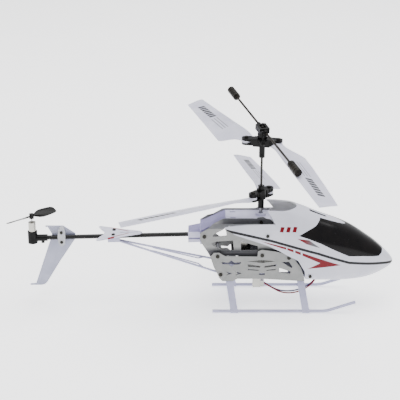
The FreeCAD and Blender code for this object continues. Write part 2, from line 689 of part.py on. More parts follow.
def blade(droop):
    """Blade along +x, trailing edge on the +y side, bolt hole at the origin."""
    rings = []
    for span, lead, trail, thick, pitch in BLADE:
        rings.append(blade_ring(lead, trail, thick, pitch, span, span, droop))
    lead, span_lead, trail, span_trail = BLADE_TIP
    rings.append(blade_ring(lead, trail, 0.8, 8.0, span_lead, span_trail, droop))
    wing = Part.makeLoft(rings, True, True)
    tab = cyl((0, 0, -BLADE_TAB_T / 2.0), (0, 0, 1), BLADE_TAB_R, BLADE_TAB_T)
    body = tab.fuse(wing)
    flat = box(-8, 6.2, -8, 8, -BLADE_TAB_T / 2.0, BLADE_TAB_T / 2.0)
    inner = body.common(flat)
    outer = body.common(box(6.2, 140, -40, 40, -60, 20))
    body = inner.fuse(outer)
    return body.cut(cyl((0, 0, -10), (0, 0, 1), BLADE_HOLE_R, 20))


def put_blade(name, azimuth, arm, reach, droop, upper, flip):
    body = blade(droop)
    if not upper:
        body = body.mirror(vec(0, 0, 0), vec(0, 1, 0))
    body = turned(body, azimuth - arm - (180.0 if flip else 0.0), (0, 0, 1))
    body = moved(body, reach, 0, 0)
    if flip:
        body = turned(body, 180, (0, 0, 1))
    if upper:
        body = upper_place(body)
    else:
        body = lower_place(body)
    save(body, name)


put_blade("upper_blade_near", UPPER_NEAR_AZ, UPPER_ARM_AZ, UPPER_BOLT_R, 2.3, True, False)
put_blade("upper_blade_far", UPPER_FAR_AZ, UPPER_ARM_AZ, UPPER_BOLT_R, 2.3, True, True)
put_blade("lower_blade_far", LOWER_FAR_AZ, LOWER_ARM_AZ, LOWER_BOLT_R, 4.6, False, False)
put_blade("lower_blade_near", LOWER_NEAR_AZ, LOWER_ARM_AZ, LOWER_BOLT_R, 2.3, False, True)


# ---------------------------------------------------------------- flybar and links
def flybar_place(shape):
    """From a level bar along +x to the tilted bar on top of the mast, +x end low."""
    shape = turned(shape, FLYBAR_TILT, (0, 1, 0))
    shape = turned(shape, FLYBAR_AZ, (0, 0, 1))
    return moved(shape, MAST_X, 0, FLYBAR_Z)


def flybar():
    ring = box(-5.4, 5.4, -4.6, 4.6, -2.4, 2.4)
    ring = ring.cut(box(-3.3, 3.3, -2.3, 2.3, -5, 5))
    ring = ring.cut(cyl((0, -9, 0), (0, 1, 0), 0.55, 18))
    for flip in (0, 180):
        c, s = heading(flip)
        boss = cyl((5.0 * c, 0, 0), (c, 0, 0), 1.9, 4.4)
        ring = ring.fuse(boss)
        pin = cyl((LINK_ARM * c, -1.4 * c, 0), (0, -c, 0), 0.7, 2.6)
        cap = cyl((LINK_ARM * c, -3.9 * c, 0), (0, -c, 0), 1.1, 0.4)
        ring = ring.fuse(pin).fuse(cap)
    ring = ring.cut(box(-3.3, 3.3, -2.3, 2.3, -5, 5))
    for flip in (0, 180):
        c, s = heading(flip)
        ring = ring.cut(cyl((4.2 * c, 0, 0), (c, 0, 0), FLYBAR_ROD_R, 9.0))
    save(flybar_place(ring), "flybar_ring")
    rods = []
    for flip in (0, 180):
        c, s = heading(flip)
        rods.append(cyl((4.2 * c, 0, 0), (c, 0, 0), FLYBAR_ROD_R, FLYBAR_HALF - 4.2))
    save(flybar_place(Part.makeCompound(rods)), "flybar_rods")
    weights = []
    for flip in (0, 180):
        c, s = heading(flip)
        start = FLYBAR_HALF - 16.4
        body = cyl((start * c, 0, 0), (c, 0, 0), 3.3, 15.8)
        for k in range(4):
            x = (start + 3.0 + 3.2 * k)
            ring_cut = tube((x * c, 0, 0), (c, 0, 0), 3.6, 3.0, 0.9)
            body = body.cut(ring_cut)
        body = body.fuse(cyl(((start - 1.6) * c, 0, 0), (c, 0, 0), 1.8, 1.8))
        body = body.cut(cyl(((start - 3) * c, 0, 0), (c, 0, 0), FLYBAR_ROD_R, 30))
        weights.append(body)
    save([flybar_place(weight) for weight in weights], "flybar_weights")


flybar()


def point_after(place, x, y, z):
    """Row position of a point given in a placed frame."""
    mark = place(Part.Vertex(x, y, z))
    return mark.Point


def link(flip, name):
    """Link with a running eye on the flybar pin and a loose eye round the holder ball."""
    sign = 1.0 if flip == 0 else -1.0
    top = point_after(flybar_place, sign * LINK_ARM, -sign * LINK_SIDE, 0.0)
    ball = low_ball()
    low = point_after(upper_place, sign * ball.x, sign * ball.y, ball.z)
    c, s = heading(FLYBAR_AZ + 90.0)
    axis = vec(c, s, 0)
    low = low - axis * (low - top).dot(axis)
    run = low - top
    length = run.Length
    run.normalize()
    bar = Part.makeCylinder(0.6, length - 2.6, top + run * 1.2, run)
    body = bar.fuse(Part.makeCylinder(1.5, 1.2, top - axis * 0.6, axis))
    body = body.fuse(Part.makeCylinder(1.85, 1.2, low - axis * 0.6, axis))
    body = body.cut(Part.makeCylinder(0.78, 4.0, top - axis * 2.0, axis))
    body = body.cut(Part.makeCylinder(1.2, 4.0, low - axis * 2.0, axis))
    print(name, "top", [round(v, 3) for v in top], "low", [round(v, 3) for v in low])
    save(body, name)


link(0.0, "flybar_link_near")
link(180.0, "flybar_link_far")


# ---------------------------------------------------------------- tail
def tail():
    boom = boom_cylinder(BOOM_R, 2.0, BOOM_REAR[0])
    boom = boom.cut(boom_cylinder(BOOM_R - 0.5, 3.0, -145.0))
    save(boom, "tail_boom")

    slope = math.degrees(math.atan2(BOOM_FRONT[1] - BOOM_REAR[1], BOOM_FRONT[0] - BOOM_REAR[0]))

    def on_boom(shape, x):
        shape = turned(shape, -slope, (0, 1, 0))
        return moved(shape, x, 0, boom_height(x))

    half = [(25.4, 0.0), (23.6, 2.4), (2.0, 9.4), (-12.6, 15.6), (-14.4, 15.0), (-11.6, 8.6),
            (-9.0, 4.4), (-8.4, 0.0)]
    outline = half + [(x, -y) for x, y in reversed(half[1:-1])]
    stab = prism_z(outline, BOOM_R + 0.05, BOOM_R + 1.35)
    rib = prism_z([(22.0, -0.6), (22.0, 0.6), (6.0, 1.0), (6.0, -1.0)], BOOM_R + 1.3, BOOM_R + 1.9)
    stab = stab.fuse(rib)
    clamp = box(-5.0, 5.4, -7.4, 7.4, -3.4, BOOM_R + 0.02)
    clamp = clamp.cut(box(-6, 6, -8, -6.4, -4, -1.4)).cut(box(-6, 6, 6.4, 8, -4, -1.4))
    clamp = clamp.cut(cyl((-9, 0, 0), (1, 0, 0), BOOM_R + 0.02, 20))
    clamp = clamp.cut(box(-9, 11, -0.8, 0.8, 1.0, BOOM_R + 1.0))
    clamp = clamp.cut(cyl((2.6, 0, -6), (0, 0, 1), 0.65, 4.2))
    screws = []
    for y in (-5.4, 5.4):
        stab = stab.cut(cyl((0, y, -6), (0, 0, 1), 0.9, 12))
        clamp = clamp.cut(cyl((0, y, -6), (0, 0, 1), 0.85, 12))
        head = cyl((0, y, BOOM_R + 1.35), (0, 0, 1), 1.6, 0.9)
        head = head.cut(box(-1.1, 1.1, y - 0.2, y + 0.2, BOOM_R + 1.8, BOOM_R + 2.4))
        head = head.cut(box(-0.2, 0.2, y - 1.1, y + 1.1, BOOM_R + 1.8, BOOM_R + 2.4))
        screws.append(head.fuse(cyl((0, y, -2.6), (0, 0, 1), 0.8, BOOM_R + 4.2)))
    low_screw = cyl((2.6, 0, -5.6), (0, 0, 1), 1.3, 0.8).fuse(cyl((2.6, 0, -5.0), (0, 0, 1), 0.6, 2.6))
    screws.append(low_screw)
    save(on_boom(stab, -77.0), "horizontal_stabilizer")
    save(on_boom(clamp, -77.0), "stabilizer_clamp")
    tail_screws = [on_boom(Part.makeCompound(screws), -77.0)]

    apex = vec(-74.4, 0, boom_height(-74.4) - 4.5)
    pieces = []
    eye = cyl((2.6, 0, -4.8), (0, 0, 1), 2.6, 1.35)
    pieces.append(on_boom(eye, -77.0))
    for side in (-1, 1):
        start = apex + vec(1.9, side * 0.9, 0)
        end = vec(16.2, side * 13.4, 33.9)
        pieces.append(rod(start, end, 0.95))
        ring = cyl((18.4, side * 13.4 - 1.2, 33.8), (0, 1, 0), 3.0, 2.4)
        pieces.append(ring)
        mid = start + (end - start) * 0.30
        inner_a = start + (end - start) * 0.36
        inner_b = start + (end - start) * 0.80
        shift = vec(0, -side * 2.2, 0)
        pieces.append(rod(inner_a + shift, inner_b + vec(0, -side * 5.0, 0), 0.6))
        pieces.append(rod(mid, inner_a + shift, 0.6))
        pieces.append(Part.makeSphere(0.6, inner_a + shift))
        pieces.append(Part.makeSphere(0.6, inner_b + vec(0, -side * 5.0, 0)))
        pieces.append(rod(inner_b + vec(0, -side * 5.0, 0), start + (end - start) * 0.86, 0.6))
    body = pieces[0]
    for piece in pieces[1:]:
        body = body.fuse(piece)
    for side in (-1, 1):
        body = body.cut(cyl((18.4, side * 13.4 - 3.2, 33.8), (0, 1, 0), 2.06, 6.4))
    body = body.cut(on_boom(cyl((2.6, 0, -9), (0, 0, 1), 0.65, 9), -77.0))
    save(body, "tail_strut")

    fin = [
        (-138.1, 72.1), (-122.5, 72.1), (-111.6, 64.7), (-112.2, 59.2), (-125.9, 38.4), (-138.8, 17.0),
        (-140.2, 15.2), (-142.4, 14.0), (-145.0, 13.6), (-154.6, 13.6), (-154.6, 14.6), (-149.4, 15.1),
        (-134.2, 58.9), (-132.6, 64.4), (-136.2, 71.2), (-138.1, 71.2),
    ]
    plate = prism_y(fin, 2.3, 3.5)
    rib = prism_y([(-124.4, 57.0), (-122.2, 57.0), (-145.2, 17.0), (-147.0, 17.0)], 3.4, 4.1)
    plate = plate.fuse(rib)
    clamp = prism_y(oval(-123.5, 63.4, 3.3, 8.6), -3.2, 2.26)
    clamp = clamp.cut(boom_cylinder(BOOM_R + 0.02, -110.0, -137.0))
    for z in (67.9, 58.6):
        plate = plate.cut(cyl((-123.5, 0, z), (0, 1, 0), 0.75, 9))
        clamp = clamp.cut(cyl((-123.5, -9, z), (0, 1, 0), 0.72, 18))
        head = cyl((-123.5, -3.2, z), (0, -1, 0), 1.4, 0.8)
        head = head.cut(box(-124.4, -122.6, -4.2, -3.6, z - 0.15, z + 0.15))
        tail_screws.append(head.fuse(cyl((-123.5, -3.4, z), (0, 1, 0), 0.68, 6.6)))
    save(plate, "vertical_fin")
    save(clamp, "fin_clamp")
    save(tail_screws, "tail_screws")

    collar = boom_cylinder(3.1, -136.4, TAIL_X)
    mount = fuse([collar, cyl((TAIL_X, 0, 57.0), (0, 0, 1), 4.3, 11.2)])
    mount = mount.cut(cyl((TAIL_X, 0, 58.2), (0, 0, 1), 3.36, 20.0))
    mount = mount.cut(boom_cylinder(BOOM_R + 0.02, -130.0, BOOM_REAR[0] - 0.1))
    boss = cyl((-140.6, 0, 57.0), (0, 0, 1), 1.5, 2.4)
    mount = mount.fuse(boss)
    for k in range(4):
        c, s = heading(45.0 + 90.0 * k)
        mount = mount.fuse(box(TAIL_X + 4.0 * c - 0.5, TAIL_X + 4.0 * c + 0.5,
                               4.0 * s - 0.5, 4.0 * s + 0.5, 57.6, 66.0))
    mount = mount.cut(cyl((TAIL_X, 0, 58.2), (0, 0, 1), 3.36, 20.0))
    save(mount, "tail_motor_mount")
    can = cyl((TAIL_X, 0, 58.3), (0, 0, 1), 3.3, 18.5)
    can = can.fuse(cyl((TAIL_X, 0, 76.8), (0, 0, 1), 1.2, 0.6))
    can = can.cut(cyl((TAIL_X, 0, 60.0), (0, 0, 1), 0.56, 30))
    save(can, "tail_motor")
    save(cyl((TAIL_X, 0, 62.0), (0, 0, 1), 0.5, 22.6), "tail_motor_shaft")
    save(tail_propeller(), "tail_propeller")


def oval(x, z, half_x, half_z):
    points = []
    for k in range(20):
        c, s = heading(18.0 * k)
        across = half_x * math.copysign(abs(c) ** 0.7, c)
        upward = half_z * math.copysign(abs(s) ** 0.8, s)
        points.append((x + across, z + upward))
    return points


def tail_propeller():
    rows = [(1.0, 2.4, 1.8, 8.0), (3.6, 4.0, 1.8, 34.0), (6.4, 7.2, 1.6, 32.0), (9.6, 9.2, 1.4, 29.0),
            (13.0, 9.8, 1.3, 26.0), (18.0, 9.8, 1.1, 22.0), (22.4, 9.2, 1.0, 19.0), (24.2, 7.8, 0.9, 18.0),
            (TAIL_PROP_R, 5.6, 0.8, 18.0)]
    section = [(-0.5, 0.0), (-0.2, 0.5), (0.2, 0.4), (0.5, 0.05), (0.2, -0.35), (-0.2, -0.45)]
    body = cyl((0, 0, -2.2), (0, 0, 1), 2.1, 4.4)
    for flip in (0, 180):
        rings = []
        for span, chord, thick, pitch in rows:
            tilt = math.radians(pitch)
            points = []
            for share, level in section:
                v = chord * share
                h = thick * level
                points.append(vec(span, v * math.cos(tilt) - h * math.sin(tilt),
                                  v * math.sin(tilt) + h * math.cos(tilt)))
            rings.append(Part.makePolygon(points + [points[0]]))
        body = body.fuse(turned(Part.makeLoft(rings, True, True), flip, (0, 0, 1)))
    body = body.cut(cyl((0, 0, -5), (0, 0, 1), 0.5, 7.0))
    body = turned(body, TAIL_PROP_AZ, (0, 0, 1))
    return moved(body, TAIL_X, 0, 82.6)


tail()


# ---------------------------------------------------------------- landing gear
def landing_leg(x_top, x_foot, name):
    front_view = [
        (15.2, 29.7), (17.0, 29.7), (17.0, 27.0), (28.2, 3.4), (28.6, 2.0), (25.2, 2.0), (15.2, 25.4),
    ]
    side_view = [
        (x_top - 3.2, 29.7), (x_top + 3.2, 29.7), (x_top + 3.2, 27.0), (x_foot + 3.25, 2.0),
        (x_foot - 3.25, 2.0), (x_top - 3.2, 27.0),
    ]
    leg = prism_x(front_view, x_top - 20, x_top + 20).common(prism_y(side_view, 0, 60))
    sleeve = cyl((x_foot - 3.25, SKID_Y, SKID_Z), (1, 0, 0), FOOT_R, 6.5)
    leg = leg.fuse(sleeve)
    leg = leg.cut(cyl((x_foot - 9, SKID_Y, SKID_Z), (1, 0, 0), SKID_R + 0.02, 18))
    save(leg, name + "_left")
    save(mirrored(leg), name + "_right")


landing_leg(26.2, 30.5, "landing_leg_rear")
landing_leg(89.7, 94.4, "landing_leg_front")


def bent_rod(points, radius, label):
    """Round rod along straight runs joined by tangent arcs."""
    wires = []
    cursor = points[0]
    radii = []
    for before, corner, after in zip(points[:-2], points[1:-1], points[2:]):
        run_in = corner - before
        run_out = after - corner
        turn = run_in.getAngle(run_out)
        short = min(run_in.Length, run_out.Length)
        bend = 0.45 * short / math.tan(turn / 2.0)
        radii.append(round(bend, 2))
        inward = FreeCAD.Vector(run_in)
        inward.normalize()
        outward = FreeCAD.Vector(run_out)
        outward.normalize()
        set_back = 0.45 * short
        arc_start = corner - inward * set_back
        arc_end = corner + outward * set_back
        middle = inward - outward
        middle.normalize()
        centre = corner - middle * (bend / math.cos(turn / 2.0))
        centre_axis = centre - corner
        centre_axis.normalize()
        arc_middle = corner + centre_axis * (bend / math.cos(turn / 2.0) - bend)
        wires.append(Part.makeLine(cursor, arc_start))
        wires.append(Part.Arc(arc_start, arc_middle, arc_end).toShape())
        cursor = arc_end
    wires.append(Part.makeLine(cursor, points[-1]))
    path = Part.Wire(wires)
    tangent = points[1] - points[0]
    profile = Part.Wire([Part.makeCircle(radius, points[0], tangent)])
    print(label, "bend radii", radii)
    return path.makePipeShell([profile], True, True)


def skid(side, name):
    points = [vec(11.1, side * SKID_Y, SKID_Z), vec(112.6, side * SKID_Y, SKID_Z),
              vec(138.3, side * SKID_Y, SKID_Z + 9.0)]
    near = vec(102.0, side * SKID_Y, SKID_Z)
    straight = Part.makeCylinder(SKID_R, near.x - points[0].x, points[0], vec(1, 0, 0))
    rest = bent_rod([near, points[1], points[2]], SKID_R, name)
    body = straight.fuse(rest)
    save(body, name)


skid(1, "skid_tube_left")
skid(-1, "skid_tube_right")


# ---------------------------------------------------------------- electrics
def battery_pack():
    pack = box(98.0, 132.0, -10.0, 10.0, 31.7, 45.0)
    wrap = box(99.0, 131.0, -9.0, 9.0, 44.9, 45.5)
    save(pack.fuse(wrap), "battery_pack")


battery_pack()


def circuit_board():
    board = box(84.0, 112.0, -10.5, 10.5, 52.0, 53.4)
    chips = [box(90.0, 97.0, -4.0, 3.0, 53.4, 55.0), box(101.0, 105.0, 2.0, 7.0, 53.4, 54.6),
             box(101.0, 104.0, -7.5, -4.0, 53.4, 56.2)]
    legs = [box(80.6, 85.0, side * 6.0 - 1.5, side * 6.0 + 1.5, 50.4, 52.0) for side in (-1, 1)]
    save(fuse([board] + chips + legs), "circuit_board")


circuit_board()


def power_switch():
    body = box(34.0, 46.0, -3.2, 3.2, 24.6, 29.7)
    body = body.cut(box(36.6, 43.4, -1.2, 1.2, 24.0, 27.2))
    save(body, "power_switch_body")
    knob = box(36.9, 40.6, -0.95, 0.95, 22.9, 26.8)
    save(knob, "power_switch_knob")


power_switch()


def battery_lead():
    socket = box(47.2, 54.2, -11.2, -4.8, 17.8, 29.7)
    socket = socket.cut(box(50.4, 55.0, -10.4, -5.6, 18.8, 23.4))
    save(socket, "battery_socket")
    plug = box(50.6, 54.2, -10.3, -5.7, 18.9, 23.3).fuse(box(54.3, 57.4, -11.0, -5.0, 18.3, 23.9))
    plug = plug.fuse(box(54.1, 54.4, -10.3, -5.7, 18.9, 23.3))
    save(plug, "battery_plug")
    path = [(57.4, 0.0, 21.0), (63.6, 0.6, 16.4), (71.6, 1.6, 11.2), (80.4, 2.6, 9.4),
            (89.4, 3.6, 10.6), (96.6, 4.6, 13.8), (102.6, 5.2, 19.2), (105.6, 5.6, 25.2),
            (105.9, 5.8, 31.6)]
    for name, shift in (("battery_wire_red", -0.75), ("battery_wire_blue", 0.75)):
        points = [vec(x, y - 8.0 + shift, z + (0.3 if shift > 0 else 0.0)) for x, y, z in path]
        save(bent_rod(points, CORD_R, name), name)


battery_lead()
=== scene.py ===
import math

import bpy
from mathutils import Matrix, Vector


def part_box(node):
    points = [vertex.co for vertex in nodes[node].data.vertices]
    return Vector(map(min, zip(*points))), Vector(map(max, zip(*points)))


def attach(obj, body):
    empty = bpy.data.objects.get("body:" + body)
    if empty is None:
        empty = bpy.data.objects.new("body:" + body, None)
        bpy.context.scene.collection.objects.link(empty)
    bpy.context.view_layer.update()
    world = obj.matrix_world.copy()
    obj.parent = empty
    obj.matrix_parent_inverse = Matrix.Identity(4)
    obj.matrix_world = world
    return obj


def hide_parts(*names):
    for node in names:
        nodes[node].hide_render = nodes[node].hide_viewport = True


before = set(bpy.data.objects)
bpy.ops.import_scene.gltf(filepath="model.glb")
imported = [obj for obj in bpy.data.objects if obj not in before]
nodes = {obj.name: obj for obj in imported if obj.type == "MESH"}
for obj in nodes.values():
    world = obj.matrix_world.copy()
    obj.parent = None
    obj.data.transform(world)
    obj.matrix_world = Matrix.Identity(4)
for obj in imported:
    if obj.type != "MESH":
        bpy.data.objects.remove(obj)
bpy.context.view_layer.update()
MM = 0.001
MAST_X = 53.8

# ---------------------------------------------------------------- camera
camera_data = bpy.data.cameras.new("camera")
camera_data.sensor_width = 36.0
camera_data.lens = 102.87
camera_data.clip_start = 0.01
camera_data.clip_end = 50.0
camera = bpy.data.objects.new("camera", camera_data)
camera.location = (0.0, -0.9356, 0.476)
camera.rotation_euler = (math.radians(68.0), 0.0, 0.0)
bpy.context.collection.objects.link(camera)
bpy.context.scene.camera = camera


# ---------------------------------------------------------------- battery lead
ROUTE = [(57.4, -8.0, 21.0), (63.6, -7.4, 16.4), (71.6, -6.4, 11.2), (80.4, -5.4, 9.4),
         (89.4, -4.4, 10.6), (96.6, -3.4, 13.8), (102.6, -2.8, 19.2), (105.6, -2.4, 25.2),
         (105.9, -2.2, 31.6)]
WIRE_DIAMETER = 1.24 * MM
POINT_RADIUS = 0.001


def battery_wire(name, shift, lifts):
    curve = bpy.data.curves.new(name, "CURVE")
    curve.dimensions = "3D"
    curve.bevel_depth = WIRE_DIAMETER / 2.0 / POINT_RADIUS
    curve.bevel_resolution = 6
    curve.resolution_u = 24
    curve.use_fill_caps = True
    spline = curve.splines.new("NURBS")
    spline.points.add(len(ROUTE) - 1)
    for point, (x, y, z), lift in zip(spline.points, reversed(ROUTE), reversed(lifts)):
        point.co = (x * MM, (y + shift) * MM, (z + lift) * MM, 1.0)
        point.radius = POINT_RADIUS
    spline.order_u = 3
    spline.use_endpoint_u = True
    wire = bpy.data.objects.new(name, curve)
    bpy.context.collection.objects.link(wire)
    return wire


wires = {}
RED_LIFT = [0.0, 0.5, 0.2, -0.1, -0.1, 0.0, 0.1, 0.1, 0.0]
BLUE_LIFT = [0.3, 0.0, 0.9, 1.3, 1.2, 1.0, 0.5, 0.3, 0.3]
for colour, shift, lifts in (("red", -0.75, RED_LIFT), ("blue", 0.75, BLUE_LIFT)):
    wire = battery_wire("lead_" + colour, shift, lifts)
    wires[colour] = wire
    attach(wire, "airframe")
    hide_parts("battery_wire_" + colour)


# ---------------------------------------------------------------- node networks
class Net:
    """Shader network of one material, in millimetres of the object's own space."""

    def __init__(self, name):
        self.material = bpy.data.materials.new(name)
        self.material.use_nodes = True
        self.tree = self.material.node_tree
        self.shader = self.tree.nodes["Principled BSDF"]
        coordinates = self.tree.nodes.new("ShaderNodeTexCoord")
        self.place = self.vector("SCALE", coordinates.outputs["Object"], scale=1.0 / MM)

    def link(self, value, socket):
        if isinstance(value, bpy.types.NodeSocket):
            self.tree.links.new(value, socket)
        else:
            socket.default_value = value

    def vector(self, operation, a, b=None, scale=None):
        node = self.tree.nodes.new("ShaderNodeVectorMath")
        node.operation = operation
        self.link(a, node.inputs[0])
        if b is not None:
            self.link(b, node.inputs[1])
        if scale is not None:
            node.inputs["Scale"].default_value = scale
        return node.outputs["Value" if operation == "DOT_PRODUCT" else "Vector"]

    def math(self, operation, a, b=0.0, c=0.0, clamp=False):
        node = self.tree.nodes.new("ShaderNodeMath")
        node.operation = operation
        node.use_clamp = clamp
        for index, value in enumerate((a, b, c)):
            self.link(value, node.inputs[index])
        return node.outputs[0]

    def rises(self, value, at, soft=0.18):
        """0 below at, 1 above it, over a soft edge."""
        return self.math("MULTIPLY_ADD", value, 1.0 / soft, 0.5 - at / soft, clamp=True)

    def falls(self, value, at, soft=0.18):
        return self.math("MULTIPLY_ADD", value, -1.0 / soft, 0.5 + at / soft, clamp=True)

    def band(self, value, low, high, soft=0.18):
        return self.math("MULTIPLY", self.rises(value, low, soft), self.falls(value, high, soft))

    def both(self, a, b):
        return self.math("MULTIPLY", a, b)

    def either(self, masks):
        total = masks[0]
        for mask in masks[1:]:
            total = self.math("MAXIMUM", total, mask)
        return total

    def convex(self, points):
        """Mask of a convex outline of (x, z) points, seen square to the y axis."""
        area = 0.0
        for (xa, za), (xb, zb) in zip(points, points[1:] + points[:1]):
            area += xa * zb - xb * za
        turn = 1.0 if area > 0 else -1.0
        mask = None
        for (xa, za), (xb, zb) in zip(points, points[1:] + points[:1]):
            length = math.hypot(xb - xa, zb - za)
            nx = -turn * (zb - za) / length
            nz = turn * (xb - xa) / length
            inward = self.vector("DOT_PRODUCT", self.place, (nx, 0.0, nz))
            edge = self.rises(inward, nx * xa + nz * za)
            mask = edge if mask is None else self.math("MINIMUM", mask, edge)
        return mask

    def noise(self, scale, detail=4.0, rough=0.55, stretch=(1.0, 1.0, 1.0)):
        mapping = self.tree.nodes.new("ShaderNodeMapping")
        mapping.inputs["Scale"].default_value = stretch
        self.link(self.place, mapping.inputs["Vector"])
        node = self.tree.nodes.new("ShaderNodeTexNoise")
        node.inputs["Scale"].default_value = scale
        node.inputs["Detail"].default_value = detail
        node.inputs["Roughness"].default_value = rough
        self.link(mapping.outputs[0], node.inputs["Vector"])
        return node.outputs["Fac"]

    def mix(self, factor, a, b):
        node = self.tree.nodes.new("ShaderNodeMix")
        node.data_type = "RGBA"
        self.link(factor, node.inputs[0])
        self.link(a, node.inputs[6])
        self.link(b, node.inputs[7])
        return node.outputs[2]

    def spread(self, value, low, high):
        """Noise value stretched from its usual middle range to low..high."""
        node = self.tree.nodes.new("ShaderNodeMapRange")
        node.inputs["From Min"].default_value = 0.3
        node.inputs["From Max"].default_value = 0.7
        node.inputs["To Min"].default_value = low
        node.inputs["To Max"].default_value = high
        self.link(value, node.inputs["Value"])
        return node.outputs[0]

    def outward(self, centre):
        """1 where the face looks away from a line along x through centre, 0 inside."""
        geometry = self.tree.nodes.new("ShaderNodeNewGeometry")
        arm = self.vector("SUBTRACT", self.vector("MULTIPLY", self.place, (0.0, 1.0, 1.0)), centre)
        return self.rises(self.vector("DOT_PRODUCT", arm, geometry.outputs["Normal"]), 0.0, 0.5)

    def bump(self, height, strength, distance=0.05):
        node = self.tree.nodes.new("ShaderNodeBump")
        node.inputs["Strength"].default_value = strength
        node.inputs["Distance"].default_value = distance * MM
        self.link(height, node.inputs["Height"])
        self.link(node.outputs[0], self.shader.inputs["Normal"])

    def finish(self, colour, rough, metal=0.0, coat=0.0, coat_rough=0.05, scatter=0.0, gloss=0.5,
               clear=0.0):
        self.link(colour, self.shader.inputs["Base Color"])
        self.link(rough, self.shader.inputs["Roughness"])
        self.shader.inputs["Metallic"].default_value = metal
        self.shader.inputs["Coat Weight"].default_value = coat
        self.shader.inputs["Coat Roughness"].default_value = coat_rough
        self.shader.inputs["Specular IOR Level"].default_value = gloss
        self.shader.inputs["Transmission Weight"].default_value = clear
        if scatter:
            self.shader.inputs["Subsurface Weight"].default_value = scatter
            self.shader.inputs["Subsurface Radius"].default_value = (1.0, 0.95, 1.1)
            self.shader.inputs["Subsurface Scale"].default_value = 1.2 * MM
        return self.material


def rgb(red, green, blue):
    return (red, green, blue, 1.0)


def plastic(name, dark, light, rough=(0.3, 0.42), grain=2.2, depth=0.12, **extra):
    """Moulded plastic: slow tint drift, fine texture, uneven gloss."""
    net = Net(name)
    tint = net.spread(net.noise(0.09, 3.0), 0.0, 1.0)
    colour = net.mix(tint, dark, light)
    gloss = net.spread(net.noise(0.5, 5.0), rough[0], rough[1])
    net.bump(net.noise(grain, 3.0), depth)
    return net.finish(colour, gloss, **extra)


def metal(name, dark, light, rough=(0.2, 0.36), stretch=(1.0, 1.0, 12.0), **extra):
    """Turned or brushed metal: fine lines across the stretch direction."""
    net = Net(name)
    lines = net.noise(1.6, 6.0, 0.7, stretch)
    colour = net.mix(net.spread(lines, 0.0, 1.0), dark, light)
    gloss = net.spread(net.noise(0.8, 5.0, 0.6, stretch), rough[0], rough[1])
    net.bump(lines, 0.2, 0.03)
    return net.finish(colour, gloss, metal=1.0, **extra)


# ---------------------------------------------------------------- canopy
def stripe(points, width):
    """Quads along a polyline, each running a little past its ends."""
    quads = []
    for (xa, za), (xb, zb) in zip(points[:-1], points[1:]):
        length = math.hypot(xb - xa, zb - za)
        ux, uz = (xb - xa) / length, (zb - za) / length
        h = width / 2.0
        xa, za, xb, zb = xa - ux * 0.5, za - uz * 0.5, xb + ux * 0.5, zb + uz * 0.5
        quads.append([(xa - uz * h, za + ux * h), (xb - uz * h, zb + ux * h),
                      (xb + uz * h, zb - ux * h), (xa + uz * h, za - ux * h)])
    return quads


BLACK_LINE = [(22.3, 77.3), (62.9, 68.4), (103.8, 56.7), (131.7, 46.6), (174.0, 39.8)]
RED_MARKS = [
    [(53.0, 68.2), (75.6, 62.6), (75.6, 60.4), (60.0, 65.4)],
    [(76.5, 62.3), (82.0, 60.4), (82.0, 58.0), (76.5, 60.1)],
    [(83.4, 59.9), (88.4, 58.0), (88.4, 55.5), (83.4, 57.5)],
    [(89.9, 57.5), (124.2, 44.8), (106.0, 47.4), (90.0, 54.9)],
    [(124.2, 44.8), (95.0, 41.6), (106.4, 47.8)],
]
SLIVER = [[(85.0, 70.8), (95.4, 69.4), (105.6, 61.9), (93.2, 65.8)]]
SIDE_DASHES = [[(x, 81.2), (x + 3.2, 80.9), (x + 2.0, 76.4), (x - 1.2, 76.7)]
               for x in (70.6, 76.2, 81.8)]


def canopy_material():
    net = Net("canopy_paint")
    drift = net.spread(net.noise(0.05, 2.0), 0.0, 1.0)
    colour = net.mix(drift, rgb(0.50, 0.505, 0.58), rgb(0.57, 0.57, 0.63))
    axis = net.vector("DOT_PRODUCT", net.place, (1.0, 0.0, 0.0))
    outside = net.outward((0.0, 0.0, 43.0))
    # Inner faces: painted light, lifted to near white, and towards the nose past x = 90 painted
    # shade, near black.
    inside_painted_light_and_shade = net.mix(net.rises(axis, 90.0, 8.0), rgb(0.85, 0.85, 0.88), rgb(0.05, 0.05, 0.055))
    colour = net.mix(outside, inside_painted_light_and_shade, colour)
    red = rgb(0.13, 0.001, 0.006)
    sliver_tint = net.mix(net.rises(axis, 95.0, 8.0), red, rgb(0.10, 0.10, 0.11))
    marks = net.either([net.convex(points) for points in RED_MARKS + SIDE_DASHES])
    colour = net.mix(net.both(marks, outside), colour, red)
    sliver = net.both(net.either([net.convex(points) for points in SLIVER]), outside)
    colour = net.mix(sliver, colour, sliver_tint)
    line = net.either([net.convex(points) for points in stripe(BLACK_LINE, 2.4)])
    colour = net.mix(net.both(line, outside), colour, rgb(0.004, 0.004, 0.005))
    gloss = net.spread(net.noise(0.35, 5.0), 0.16, 0.26)
    net.bump(net.noise(0.6, 2.0), 0.06)
    return net.finish(colour, gloss, coat=0.05, coat_rough=0.08, scatter=0.05, gloss=0.18)


# ---------------------------------------------------------------- blades
BAR_START = 72.0        # along the span, from the root bolt
BAR_END = 106.2
BAR_PITCH = 4.9
BAR_FILL = 0.74         # dark share of one pitch
BAR_SLANT = -0.35
BAR_ACROSS = (0.3, 5.9)
LINE_SPAN = (40.0, 69.0)
LINE_PITCH = 2.5
LINE_FILL = (0.34, 0.66)
LINE_ACROSS = (0.1, 7.4)


